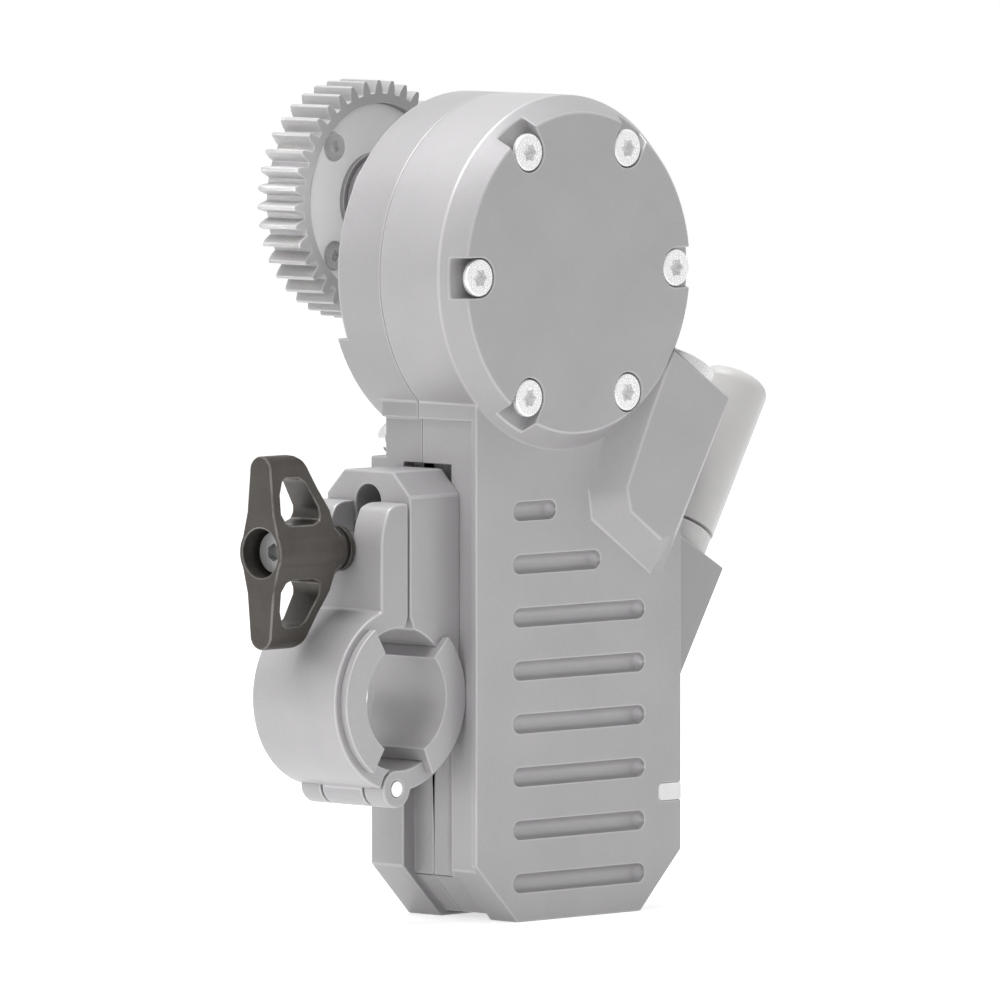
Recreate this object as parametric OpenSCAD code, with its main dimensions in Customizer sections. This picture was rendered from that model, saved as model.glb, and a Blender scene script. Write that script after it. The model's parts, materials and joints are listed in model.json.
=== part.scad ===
// Follow focus lens motor with a swing-bolt rod clamp.
// Frame: X across the front plate, Y from the front plate to the drive gear, Z up, and the
// origin in the middle of the foot face.

/* [Body] */
// Width of the body across its front plate
body_w = 40; // [38:0.5:44]
// Thickness of the body from the front plate to the rear wall
body_t = 20.8; // [20.4:0.2:23]
// Height of the round head's centre above the foot
head_z = 87.7; // [86:0.5:94]
// Chamfer of the body's two bottom corners
corner_cut = 8; // [6:0.5:9]
// Wall of the two housing shells
wall = 1.8; // [1.6:0.1:2]
// Depth of the step from the front plate's edge to the side panels
side_step = 0.8; // [0.5:0.1:1]

/* [Head] */
// Radius of the round head
head_r = 24; // [23.6:0.2:26]
// Width of the bevel round the head's flat front face
head_bevel = 2.3; // [1.5:0.1:2.6]
// Height of the head's flat face in front of the front plate
head_rise = 3.2; // [2.6:0.2:3.6]
// Distance of the head's axis to the left of the body's middle
head_shift = 3.35; // [3:0.05:4]
// Distance of the cover screws from the head's edge
screw_inset = 4.9; // [4.6:0.1:5.1]
// Diameter of a cover screw's head
screw_head_d = 5.1; // [4.6:0.1:5.2]

/* [Drive gear] */
// Number of teeth on the drive gear
drive_teeth = 39; // [35:1:43]
// Module of the drive gear
drive_module = 0.8; // [0.7:0.05:0.9]
// Width of the drive gear's teeth
drive_w = 7.2; // [6:0.2:9]
// Distance from the body's rear wall to the drive gear
drive_gap = 14; // [13:0.5:18]
// Diameter of the output shaft
shaft_d = 5; // [4:0.25:5.5]

/* [Gear train] */
// Module of the inner gears
train_module = 0.4; // [0.38:0.01:0.42]
// Teeth on the wheel of the output shaft
out_teeth = 29; // [29:1:30]
// Teeth on the small wheel of the middle gear
mid_small_teeth = 14; // [14:1:15]
// Teeth on the large wheel of the middle gear
mid_large_teeth = 36; // [36:1:37]
// Teeth on the motor's pinion
motor_teeth = 12; // [12:1:13]
// Width of the inner gears
train_w = 1.8; // [1.4:0.1:2]

/* [Rod clamp] */
// Diameter of the rod that the liners hold
rod_d = 15; // [14:0.5:16]
// Diameter of the clamp's own bore, which takes a larger rod without the liners
bore_d = 19; // [18.5:0.1:19.4]
// Length of the clamp along the rod
clamp_l = 15.8; // [14.6:0.2:17]
// Height of the rod's axis above the foot
rod_z = 31.1; // [30:0.5:34]
// Wall of the clamp's ring
ring_wall = 2.9; // [2.6:0.1:3.2]
// Thickness of the clamp arm beside the bolt
arm_t = 5.1; // [4.6:0.1:5.6]
// Height of the bolt's axis above the rod's axis
bolt_rise = 20.2; // [19.6:0.2:21]
// Diameter of the swing bolt
bolt_d = 4; // [3.6:0.1:4.2]

/* [Wing knob] */
// Span of the wing knob from tip to tip
wing_span = 26; // [22:0.5:27]
// Length of the wing knob along its bolt
knob_l = 15; // [13.5:0.25:18]
// Diameter of the wing knob's hub
hub_d = 7.9; // [7.4:0.1:8.2]

/* [Antenna] */
// Diameter of the antenna
antenna_d = 9.8; // [8.5:0.1:10.2]
// Length of the antenna from its seat to its tip
antenna_l = 26.6; // [22:0.2:34]

/* [Hidden] */

// Fineness of round surfaces, and the one overrun of every cut
fine = 96;
small_fine = 40;
over = 0.4;
// Clearances: running shafts, sliding faces, seated pieces and the clamp's moving faces
run_gap = 0.05;
side_gap = 0.15;
seat_gap = 0.05;
jaw_gap = 0.3;
// Gear tooth shape: pressure angle, and the share of a tooth's width left free as backlash
pressure = 20;
backlash_share = 0.16;
drive_backlash_share = 0.06;

// Body planes and the head's axis
plate_y = -body_t/2;
rear_y = body_t/2;
side_x = body_w/2;
parting_rise = 0.6;
parting_y = parting_rise;
head_x = -head_shift;
flat_y = plate_y - head_rise;
flat_r = head_r - head_bevel;
screw_circle_r = head_r - screw_inset;
// The head's rear face lies a little in front of the body's rear wall, with a raised pad below
pad_rise = 1.3;
head_rear_y = rear_y - pad_rise;
pad_top_share = 0.371;
pad_low_share = 0.817;
pad_top_z = head_z - pad_top_share*head_r;
pad_low_z = head_z - pad_low_share*head_r;
rear_waist = 2.8;
waist_y = rear_y - rear_waist;
seal_t = 0.5;
seal_inset = 0.35;

// Cover screws
screw_n = 6;
screw_sink = 2;
screw_play_y = 0.05;
screw_edge = 0.2;
screw_rim = 0.8;
screw_shank_d = 2.6;
screw_grip = 4.6;
screw_end_y = parting_y + screw_grip;
screw_top_y = flat_y + screw_play_y;
recess_play = 0.3;
recess_r = (screw_head_d + recess_play)/2;
recess_floor = 1.1;
post_wall = 1.35;
post_r = screw_shank_d/2 + post_wall;
hex_af = 2;
hex_depth = 1.2;
// Six-lobed sockets of the cover screws, from the tip and root radius of their lobes
lobe_r = 1.35;
lobe_root_r = 0.95;
rear_screw_d = 4.4;
rear_screw_h = 2;
rear_screw_l = 4;
rear_screw_inset = side_step + rear_screw_d/2;
// The rear screws lie just below the head, and the waist just below them
rear_screw_reach = head_r + rear_screw_d/2 + side_gap;
rear_screw_z = head_z - sqrt(pow(rear_screw_reach, 2) - pow(side_x - rear_screw_inset - head_shift, 2));
waist_margin = 0.3;
waist_low_z = rear_screw_z - rear_screw_d/2 - waist_margin;

// Grooves on the front plate
groove_n = 8;
groove_pitch = 7.2;
groove_r = 1.25;
groove_low_z = 5.25;
groove_half = 12.75;
groove_lengths_share = [0.32, 0.66, 1, 1, 1, 1, 1, 1];

// Status window
window_z = 16;
window_h = 2.4;
window_l = 4.4;
window_t = 1;
window_wrap = 3;
window_corner = 0.4;

// Port boss: its outline from the head's flat face, and where its facets meet the plate
boss_shares = [[0.777, -0.467], [1.233, -0.758], [0.783, -1.513], [0.663, -1.533],
    [0.425, -1.367], [0.392, -1.229], [0.588, -0.821]];
boss_base_shares = [[0.777, -0.467], [1.233, -0.758], [0.821, -1.725], [0.717, -1.742],
    [0.233, -1.404], [0.208, -1.233], [0.396, -0.821]];
boss_tilt = atan2(boss_shares[0][1] - boss_shares[1][1], boss_shares[1][0] - boss_shares[0][0]);
boss_screw = 1;
// Above the boss's top face the body's right side stays within the round head
shoulder_x = head_x + boss_shares[0][0]*head_r;
shoulder_z = head_z + boss_shares[0][1]*head_r - (side_x - shoulder_x)*tan(boss_tilt) - seat_gap;
socket_r = 4.7;
socket_wall = 0.7;
socket_l = 6;
socket_out = 2.2;
socket_lip = 0.5;
socket_between_share = 0.6;
socket_share = (1 - socket_between_share)*boss_shares[0] + socket_between_share*boss_shares[1];
socket_front = 5.9;
socket_pins = 4;
socket_pin_r = 0.35;
socket_pin_ring = 1.9;
insert_sink = 1.2;
insert_l = 3.6;
board_t = 1.2;
board_y = -3.6;
board_low_z = 9;
board_top_z = 58;
chip_w = 9;
chip_zs_share = [0.2, 0.38, 0.54];

// Antenna seat and antenna
seat_low_z = 28.6;
seat_top_z = 51.8;
seat_front = 1.8;
seat_deep = 12;
antenna_tilt_angle = 30;
// The antenna stands clear of the body's side and of the port boss's outer corner
antenna_side_gap = 1.66;
antenna_boss_gap = 2;
seat_margin = 4.45;
boss_corner = [head_x + head_r*boss_shares[1][0] - side_x, head_z + head_r*boss_shares[1][1] - seat_top_z];
boss_clear = antenna_d/2 + antenna_boss_gap - boss_corner[1]*sin(antenna_tilt_angle)
    + boss_corner[0]*cos(antenna_tilt_angle);
antenna_x = max(antenna_d/2*cos(antenna_tilt_angle) + antenna_side_gap,
    boss_clear*cos(antenna_tilt_angle));
seat_reach = antenna_x + seat_margin;
seat_tip_z = seat_top_z - seat_reach*tan(antenna_tilt_angle);
collar_h = 3.4;
collar_share = 0.97;
collar_d = collar_share*antenna_d;
antenna_split = 0.35;
antenna_neck_d = 6;
tip_round = 1.9;

// Gear train: centre distances follow from the teeth
train_gap = 0.02;
tooth_tip_share = 1;
tooth_root_share = 1.25;
train_tip_share = 0.9;
wheel_tip_share = 0.8;
train_root_share = 1.2;
mid_to_out = train_module*(out_teeth + mid_small_teeth)/2 + train_gap;
motor_to_mid = train_module*(mid_large_teeth + motor_teeth)/2 + train_gap;
mid_z = head_z;
out_z = mid_z + mid_to_out;
motor_z = mid_z - motor_to_mid;
plate_t = 1;
gear_plate_r = head_r - wall - 2*side_gap;
gear_plate_y = parting_y - plate_t;
large_y = parting_y + 2*side_gap;
small_y = large_y + train_w;
mid_pin_d = 1.5;
mid_bore_play = run_gap;
// The motor's can fits between the two lower screw posts
motor_post_gap = 0.74;
motor_r = norm([screw_circle_r*cos(60), screw_circle_r*sin(60) - (mid_z - motor_z)]) - post_r
    - motor_post_gap;
motor_l = 9.6;
motor_shaft_d = 1.5;
motor_hole_r = 3.2;
motor_lip = 0.4;
bearing_d = 9;
bearing_t = 2.8;
race_t = 0.75;
ball_d = 1.1;
balls = 9;

// Output neck, hub and drive gear
neck_r = 6.3;
neck_flange_r = 8.8;
neck_fillet = 2.4;
drive_y = rear_y + drive_gap;
drive_rear_y = drive_y + drive_w;
disc_sink = 1.2;
disc_t = 1.2;
disc_r = 13.2;
disc_y = drive_y + disc_sink;
hub_r = 6.5;
hub_flange_t = 0.8;
hub_step = 0.5;
hub_l = 2.4;
hub_spigot_r = 4.4;
hub_y = disc_y - hub_l;
neck_end_y = hub_y - side_gap;
web_t = 3;
hub_screw_n = 4;
hub_screw_circle = 10.5;
hub_screw_d = 3.9;
hub_screw_shank = 1.9;
shaft_screw_d = 8.4;
shaft_screw_h = 1.4;

// Rod clamp
clamp_front = 6.5;
clamp_y0 = -clamp_front;
clamp_y1 = clamp_y0 + clamp_l;
clamp_mid = (clamp_y0 + clamp_y1)/2;
bore_r = bore_d/2 + run_gap;
liner_r = rod_d/2 + run_gap;
ring_r = bore_d/2 + ring_wall;
rod_from_side = 10.65;
rod_x = -side_x - rod_from_side;
seam_offset = 1.75;
arm_rise = 6.1;
jaw_rise = 10.2;
seam_x = rod_x + seam_offset;
arm_face_x = seam_x - jaw_gap/2 - arm_t;
bolt_z = rod_z + bolt_rise;
arm_top_z = bolt_z + arm_rise;
arm_round = 3.6;
jaw_top_z = bolt_z + jaw_rise;
jaw_corner = 3.3;
pin_in = 0.34;
pin_shift = 0.6;
pin_x = rod_x - pin_shift;
pin_z = rod_z - ring_r + pin_in;
pin_d = 2.2;
knuckle_r = 2.6;
knuckle_l = (clamp_l - 2*jaw_gap)*0.25;
knuckle_mid0 = clamp_y0 + knuckle_l + jaw_gap;
knuckle_mid1 = clamp_y1 - knuckle_l - jaw_gap;
// Slot for the bolt through the arm and into the jaw
bolt_r = bolt_d/2;
slot_w = bolt_d + 4*side_gap;
slot_rise = 8.3;
slot_drop = 4.2;
slot_top_z = bolt_z + slot_rise;
slot_low_z = bolt_z - slot_drop;
pivot_in = 5.4;
pivot_x = seam_x + pivot_in;
eye_r = 3;
cross_pin_d = 2;
knob_gap = 0.15;
knob_face_x = arm_face_x - knob_gap;
knob_reach = pivot_x - knob_face_x;
// Channel in the body's left side that the jaw's tongue sits in
channel_deep = 2.2;
channel_floor_x = -side_x + side_step + channel_deep;
// The board fits between the walls beside the clamp's channel
board_side_gap = 1;
board_w = body_w - 2*(wall + channel_deep + board_side_gap);
channel_y0 = -1.4;
channel_y1 = 4.2;
channel_round = 3.8;
channel_low_z = 5.7;
channel_rim = 0.6;
channel_top_z = waist_low_z - channel_rim;
panel_x = -side_x + side_step;
side_edge = 1;
tongue_gap = 0.1;
tongue_top_z = min(jaw_top_z - jaw_corner, channel_top_z - tongue_gap);
// Half width of the bevelled mouth where the seam between jaw and arm meets the bore
mouth_w = 0.9;
jaw_screw_d = 2.5;
jaw_screw_head_d = 4.4;
jaw_screw_head_h = 1.6;
jaw_screw_drop = 8.2;
jaw_screw_y = parting_y + jaw_screw_head_d/2 + run_gap;
jaw_screw_end_x = channel_floor_x + 2*jaw_screw_d;
jaw_screw_boss_r = jaw_screw_head_d/2;
jaw_screw_zs = [rod_z, bolt_z - jaw_screw_drop];
jaw_screw_xs = [rod_x + bore_r, seam_x + jaw_gap/2];

// Liners
flange_t = 1.2;
flange_inset = 1;
flange_r = ring_r - flange_inset;
liner_short = 3.1;
liner_l = clamp_l - liner_short;
liner_gap = 0.04;
arm_liner_from_angle = 121;
arm_liner_to_angle = 237;
jaw_liner_from_angle = -64;
jaw_liner_to_angle = 45;

// Wing knob
wing_hub_r = hub_d/2;
tip_half_t = 2;
tip_arm = wing_span/2 - tip_half_t;
cup_d = 6.6;
stop_sink = 2.6;
stop_head_d = 5.4;
stop_head_h = 2;
stop_shank_d = 2.2;
stop_shank_l = 4;
knob_move = 2.4;
knob_end_x = knob_face_x - knob_l;
bolt_end_x = knob_end_x + stop_sink + stop_head_h;
cup_deep = stop_sink + stop_head_h + knob_move + side_gap;
washer_t = 0.8;
washer_r = 3.1;
// Half outline of the wings: shares of the knob's length from its end and of its half span
wing_shares = [[0, 1], [0.32, 1], [0.385, 0.985], [0.43, 0.945], [0.479, 0.852], [0.581, 0.654],
    [0.714, 0.429], [0.8, 0.35], [1, 0.35]];
// The wings are slimmest a little way out from the hub
wing_slim_share = 0.42;
slim_half_t = 2.5;
// The knob's nose tapers to this radius at the washer
nose_r = 2.75;
nose_from_share = 0.78;
nose_slack = 0.4;
// How far the flanks of a wing run inside its hub and tip circles
flank_share = 0.99;
wing_window_shares = [[0.145, 0.733], [0.19, 0.765], [0.348, 0.76], [0.425, 0.707],
    [0.569, 0.455], [0.578, 0.385], [0.56, 0.322], [0.473, 0.285], [0.209, 0.285], [0.146, 0.31],
    [0.105, 0.4], [0.105, 0.6]];

// Helpers

// A flat XZ shape carried from y0 to y1
module slab(y0, y1) {
    translate([0, y1, 0]) rotate([90, 0, 0]) linear_extrude(y1 - y0) children();
}

// A profile of radius and Y, turned about the Y-parallel axis through x, z
module turned(x, z, detail = fine) {
    translate([x, 0, z]) rotate([-90, 0, 0]) rotate_extrude($fn = detail) children();
}

// A round bar along Y
module bar(x, z, r, y0, y1, detail = fine) {
    translate([x, y0, z]) rotate([-90, 0, 0]) cylinder(r = r, h = y1 - y0, $fn = detail);
}

// A round bar along X
module cross_bar(y, z, r, x0, x1, detail = fine) {
    translate([x0, y, z]) rotate([0, 90, 0]) cylinder(r = r, h = x1 - x0, $fn = detail);
}

// A round-ended bar along X, from its left end
module capsule(r, l) {
    rotate([0, 90, 0]) rotate_extrude($fn = small_fine) intersection() {
        union() {
            translate([0, r]) circle(r = r, $fn = small_fine);
            translate([0, l - r]) circle(r = r, $fn = small_fine);
            translate([0, r]) square([r, l - 2*r]);
        }
        square([r, l]);
    }
}

// The body's outline, drawn in by d
module body_outline(d = 0) {
    c = corner_cut - d*0.4142*(corner_cut > 0 ? 1 : 0);
    polygon([
        [-side_x + d, corner_cut + d*0.4142], [-side_x + corner_cut + d*0.4142, d],
        [side_x - corner_cut - d*0.4142, d], [side_x - d, corner_cut + d*0.4142],
        [side_x - d, shoulder_z - d], [shoulder_x, head_z + boss_shares[0][1]*head_r - seat_gap - d],
        [head_x, head_z - d], [-side_x + d, head_z - d]]);
}

// Positions of the cover screws round the head's axis
module at_cover_screws(skip = -1) {
    for (i = [0 : screw_n - 1]) if (i != skip)
        translate([head_x, 0, head_z]) rotate([0, i*360/screw_n, 0]) translate([screw_circle_r, 0, 0])
            children();
}

// Involute of the pressure angle, in degrees
function involute(a) = tan(a)*180/PI - a;

// Points of one gear: pitch radius rp, teeth n, tip and root heights, angle half taken by backlash
function gear_points(n, m, tip, root, slack) =
    let (rp = m*n/2, rb = rp*cos(pressure), ra = rp + tip*m, rr = rp - root*m,
        half = 90/n*(1 - slack) + involute(pressure),
        low = max(rb, rr))
    [for (i = [0 : n - 1], side = [-1, 1], k = [0 : 4])
        let (q = side < 0 ? k : 4 - k,
            r = q == 0 ? rr : low + (ra - low)*(q - 1)/3,
            a = half - involute(acos(min(1, rb/max(r, rb)))),
            t = i*360/n + side*a)
        [r*sin(t), r*cos(t)]];

// A spur gear about a Y-parallel axis, its first tooth turned by phase from straight up
module spur(x, z, n, m, y0, y1, phase, tip = tooth_tip_share, root = tooth_root_share,
    slack = backlash_share) {
    translate([x, 0, z]) rotate([0, phase, 0]) slab(y0, y1)
        polygon(gear_points(n, m, tip, root, slack));
}

// Housing shells

// Frame of the sloping top face of the port boss, at a distance from the flat face
module at_socket(depth) {
    translate([head_x + socket_share[0]*head_r, flat_y + depth, head_z + socket_share[1]*head_r])
        rotate([0, boss_tilt, 0]) children();
}

// The boss runs in facets from its front outline to a wider one on the plate
module port_boss() {
    shift = [head_x, head_z];
    hull() {
        slab(flat_y, flat_y + seat_gap) polygon([for (p = boss_shares) shift + head_r*p]);
        slab(plate_y, plate_y + seat_gap) polygon([for (p = boss_base_shares) shift + head_r*p]);
    }
    slab(plate_y, parting_y) polygon([for (i = [0 : 2]) shift + head_r*boss_base_shares[i]]);
}

module front_form() {
    slab(plate_y, parting_y) body_outline();
    turned(head_x, head_z) polygon([[0, flat_y], [flat_r, flat_y], [head_r, plate_y],
        [head_r, parting_y], [0, parting_y]]);
    port_boss();
}

module front_shell() {
    color("#8f8e91") difference() {
        front_form();
        difference() {
            union() {
                slab(plate_y + wall, parting_y + over) intersection() {
                    body_outline(wall + channel_deep);
                    translate([-side_x, 0]) square([body_w, head_z]);
                }
                turned(head_x, head_z) polygon([[0, flat_y + wall], [flat_r - wall, flat_y + wall],
                    [head_r - wall, plate_y + wall/2], [head_r - wall, parting_y + over],
                    [0, parting_y + over]]);
            }
            // Posts that the cover screws pass through, and a floor below each screw's recess
            at_cover_screws() {
                bar(0, 0, post_r, flat_y + wall - over, gear_plate_y);
                bar(0, 0, recess_r + recess_floor, flat_y + wall - over,
                    flat_y + screw_sink + recess_floor);
                translate([0, flat_y + wall - over, -recess_r - recess_floor])
                    cube([head_r - screw_circle_r, screw_sink + recess_floor - wall + over,
                        2*(recess_r + recess_floor)]);
            }
        }
        at_cover_screws() {
            bar(0, 0, screw_shank_d/2 + seat_gap, flat_y, parting_y + over, small_fine);
            bar(0, 0, recess_r, flat_y - over, flat_y + screw_sink, small_fine);
        }
        // The recesses open to the head's edge, but for the one that the port boss closes
        at_cover_screws(boss_screw) translate([0, flat_y - over, -recess_r])
            cube([head_r - screw_circle_r + over, screw_sink + over, 2*recess_r]);
        // Ball-ended grooves
        for (i = [0 : groove_n - 1])
            translate([-groove_half, plate_y, groove_low_z + (groove_n - 1 - i)*groove_pitch])
                capsule(groove_r, 2*groove_half*groove_lengths_share[i]);
        window_form(0);
        at_socket(socket_front) translate([0, 0, -socket_l])
            cylinder(r = socket_r + seat_gap, h = socket_l + socket_out + over, $fn = fine);
        seal_form();
        // Side panels step in behind the plate's edge
        side_steps(parting_y + over);
        foot_relief(parting_y + over);
        channel(parting_y + over);
        antenna_seat_space();
    }
}

// Space cut from the front shell for the antenna seat on the right side
module antenna_seat_space() {
    slab(plate_y + seat_front, parting_y + over)
        polygon([[side_x - side_step, seat_low_z], [side_x + seat_reach + over, seat_tip_z],
            [side_x + seat_reach + over, seat_low_z]]);
}

// The stepped-in side panels, on the left and right, up to a depth in Y
module side_steps(y1) {
    step_top_z = pad_low_z;
    translate([-side_x - over, plate_y + side_edge, -over])
        cube([side_step + over, y1 - plate_y - side_edge, step_top_z + over]);
    translate([side_x - side_step, plate_y + window_wrap, -over])
        cube([side_step + over, y1 - plate_y - window_wrap, seat_low_z + over]);
}

// Below the channel the body stays drawn in across its left bottom corner
module foot_relief(y1) {
    slab(channel_y0 - channel_round, min(y1, channel_y1)) difference() {
        translate([-side_x - over, -over]) square([2*corner_cut + over, channel_low_z + 2*over]);
        body_outline(side_step);
    }
}

// The channel that the clamp's tongue sits in, with a hollow front flank
module channel(y1) {
    intersection() {
        union() {
            translate([-side_x - over, channel_y0, channel_low_z])
                cube([side_step + channel_deep + over, channel_y1 - channel_y0,
                    channel_top_z - channel_low_z]);
            translate([channel_floor_x - channel_round, channel_y0, channel_low_z])
                cylinder(r = channel_round, h = channel_top_z - channel_low_z, $fn = fine);
        }
        translate([-side_x - over, plate_y - over, 0])
            cube([body_w, y1 - plate_y + over, head_z]);
    }
}

module antenna_seat() {
    slab(plate_y + seat_front, plate_y + seat_front + seat_deep)
        polygon([[side_x - side_step - over, seat_top_z], [side_x, seat_top_z],
            [side_x + seat_reach, seat_tip_z], [side_x, seat_low_z],
            [side_x - side_step - over, seat_low_z]]);
}

module rear_shell() {
    color("#858487") difference() {
        union() {
            slab(parting_y, rear_y) intersection() {
                body_outline();
                translate([-side_x, 0]) square([body_w, waist_low_z]);
            }
            slab(parting_y, waist_y) intersection() {
                body_outline();
                translate([-side_x, waist_low_z - over]) square([body_w, head_z]);
            }
            turned(head_x, head_z) polygon([[0, parting_y], [head_r, parting_y],
                [head_r, head_rear_y - wall/3], [head_r - wall/3, head_rear_y], [0, head_rear_y]]);
            // The raised pad below the step
            slab(head_rear_y - wall, rear_y) intersection() {
                translate([head_x, head_z]) circle(r = head_r, $fn = fine);
                translate([-body_w, pad_low_z]) square([2*body_w, pad_top_z - pad_low_z]);
            }
            antenna_seat_rear();
        }
        difference() {
            union() {
                slab(parting_y - over, rear_y - wall) intersection() {
                    body_outline(wall + channel_deep);
                    translate([-side_x, 0]) square([body_w, waist_low_z - wall]);
                }
                slab(parting_y - over, waist_y - wall) body_outline(wall + channel_deep);
                bar(head_x, head_z, head_r - wall, parting_y - over, head_rear_y - wall);
            }
            at_cover_screws() bar(0, 0, post_r, parting_y, rear_y);
            // Blind bosses for the clamp's screws
            for (z = jaw_screw_zs)
                cross_bar(jaw_screw_y, z, jaw_screw_boss_r, -side_x, jaw_screw_end_x + jaw_screw_d/2);
        }
        at_cover_screws()
            bar(0, 0, screw_shank_d/2, parting_y - over, screw_end_y + over, small_fine);
        bar(head_x, out_z, neck_r - seat_gap, parting_y, rear_y + over);
        bar(head_x, mid_z, mid_pin_d/2, head_rear_y - wall - over, head_rear_y - wall/3, small_fine);
        for (s = [-1, 1])
            bar(s*(side_x - rear_screw_inset), rear_screw_z, screw_shank_d/2,
                waist_y - rear_screw_l - over, waist_y + over, small_fine);
        side_steps(rear_y + over);
        foot_relief(rear_y);
        channel(rear_y + over);
        jaw_screw_holes();
    }
}

// The rear half of the antenna seat is one with the rear shell, and so is its front half
module antenna_seat_rear() {
    difference() {
        antenna_seat();
        translate([side_x - side_step - 2*over, plate_y, 0])
            cube([side_step + 2*over, parting_y - plate_y, head_z]);
        at_antenna() translate([0, 0, -collar_h]) cylinder(d = antenna_neck_d, h = 2*collar_h,
            $fn = small_fine);
    }
}

module jaw_screw_holes() {
    for (z = jaw_screw_zs)
        cross_bar(jaw_screw_y, z, jaw_screw_d/2, -side_x - over, jaw_screw_end_x + over, small_fine);
}

// A thin gasket lies in a groove of the front shell's parting face
module seal_outline(inset) {
    body_outline(side_step + channel_deep + seal_inset + inset);
    translate([head_x, head_z]) circle(r = head_r - wall + seal_inset + seal_t - inset, $fn = fine);
}

module seal_form() {
    slab(parting_y - seal_t, parting_y) difference() {
        seal_outline(0);
        seal_outline(seal_t);
    }
}

module shell_seal() {
    color("#3a3a3c") seal_form();
}

// A cover screw: a cone under a flat head, its shank and a six-lobed socket
module lobed_socket(depth) {
    slab(flat_y - over, flat_y + depth) polygon([for (i = [0 : 11])
        (i % 2 == 0 ? lobe_r : lobe_root_r)*[cos(i*30), sin(i*30)]]);
}

module cover_screws() {
    color("#d9d8da") at_cover_screws() difference() {
        turned(0, 0, small_fine) polygon([[0, screw_top_y], [screw_head_d/2 - screw_edge, screw_top_y],
            [screw_head_d/2, screw_top_y + screw_edge], [screw_head_d/2, screw_top_y + screw_rim],
            [screw_shank_d/2, flat_y + screw_sink], [screw_shank_d/2, screw_end_y],
            [0, screw_end_y]]);
        lobed_socket(hex_depth);
    }
}

module rear_screws() {
    color("#dddcda") for (s = [-1, 1])
        translate([s*(side_x - rear_screw_inset), 0, rear_screw_z]) difference() {
            turned(0, 0, small_fine) polygon([[0, waist_y - rear_screw_l], [screw_shank_d/2, waist_y - rear_screw_l],
                [screw_shank_d/2, waist_y], [rear_screw_d/2, waist_y],
                [rear_screw_d/2, waist_y + rear_screw_h/2], [rear_screw_d*3/8,
                waist_y + rear_screw_h], [0, waist_y + rear_screw_h]]);
            bar(0, 0, hex_af/2, waist_y + rear_screw_h - hex_depth, waist_y + rear_screw_h + over, 6);
        }
}

module window_form(gap) {
    z0 = window_z - window_h/2 + gap;
    z1 = window_z + window_h/2 - gap;
    x0 = side_x - window_l + gap;
    x1 = side_x + (gap == 0 ? over : 0);
    slab(plate_y - (gap == 0 ? over : 0), plate_y + window_t)
        polygon([[x0 + window_corner, z0], [x1, z0], [x1, z1], [x0 + window_corner, z1],
            [x0, z1 - window_corner], [x0, z0 + window_corner]]);
    translate([side_x - window_t, plate_y + window_t - over, z0])
        cube([window_t + x1 - side_x, window_wrap - window_t + over - gap, z1 - z0]);
}

module status_window() {
    color("#f4f4f2") window_form(seat_gap/2);
}

// Ports and electronics

module socket_rings() {
    color("#d2d2d2") at_socket(socket_front) difference() {
        union() {
            translate([0, 0, -socket_l]) cylinder(r = socket_r, h = socket_l, $fn = fine);
            cylinder(r = socket_r + socket_lip, h = socket_lip, $fn = fine);
            cylinder(r = socket_r, h = socket_out, $fn = fine);
        }
        translate([0, 0, -socket_l - over])
            cylinder(r = socket_r - socket_wall, h = socket_l + socket_out + 2*over, $fn = fine);
    }
}

module socket_inserts() {
    color("#2a2a2c") at_socket(socket_front) {
        translate([0, 0, socket_out - insert_sink - insert_l])
            cylinder(r = socket_r - socket_wall, h = insert_l, $fn = fine);
        for (i = [0 : socket_pins - 1]) rotate([0, 0, i*360/socket_pins + 45])
            translate([socket_pin_ring, 0, socket_out - insert_sink])
                cylinder(r = socket_pin_r, h = insert_sink*0.6, $fn = small_fine);
    }
}

// The board stands on four pads behind the front plate
module main_board() {
    color("#2f6b45") {
        translate([-board_w/2, board_y, board_low_z])
            cube([board_w, board_t, board_top_z - board_low_z]);
        for (x = [-1, 1], z = [board_low_z + 2*board_t, board_top_z - 2*board_t])
            bar(x*(board_w/2 - 2*board_t), z, board_t, plate_y + wall, board_y, small_fine);
    }
}

module board_chips() {
    color("#333335") {
        for (share = chip_zs_share) translate([-chip_w, board_y + board_t, share*head_z])
            cube([chip_w, board_t, chip_w]);
        bar(chip_w, board_low_z + 2*chip_w, 3*board_t, board_y + board_t, board_y + 3*board_t, small_fine);
    }
}

// Antenna

module at_antenna() {
    translate([side_x + antenna_x, plate_y + seat_front + seat_deep/2,
        seat_top_z - antenna_x*(seat_top_z - seat_tip_z)/seat_reach])
        rotate([0, antenna_tilt_angle, 0]) children();
}

module antenna_collar() {
    color("#9b9b97") at_antenna() {
        cylinder(d = collar_d, h = collar_h, $fn = fine);
        translate([0, 0, -collar_h*0.8]) cylinder(d = antenna_neck_d, h = collar_h*0.8, $fn = small_fine);
        cylinder(d = antenna_neck_d, h = collar_h + antenna_split, $fn = small_fine);
    }
}

module antenna_sleeve() {
    color("#8a8b86") at_antenna() rotate_extrude($fn = fine) intersection() {
        union() {
            translate([0, collar_h + antenna_split])
                square([antenna_d/2, antenna_l - collar_h - antenna_split - tip_round]);
            translate([0, antenna_l - tip_round - over]) square([antenna_d/2 - tip_round, tip_round + over]);
            translate([antenna_d/2 - tip_round, antenna_l - tip_round]) circle(r = tip_round, $fn = small_fine);
        }
        square([antenna_d, antenna_l]);
    }
}

// Motor and gear train

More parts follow.
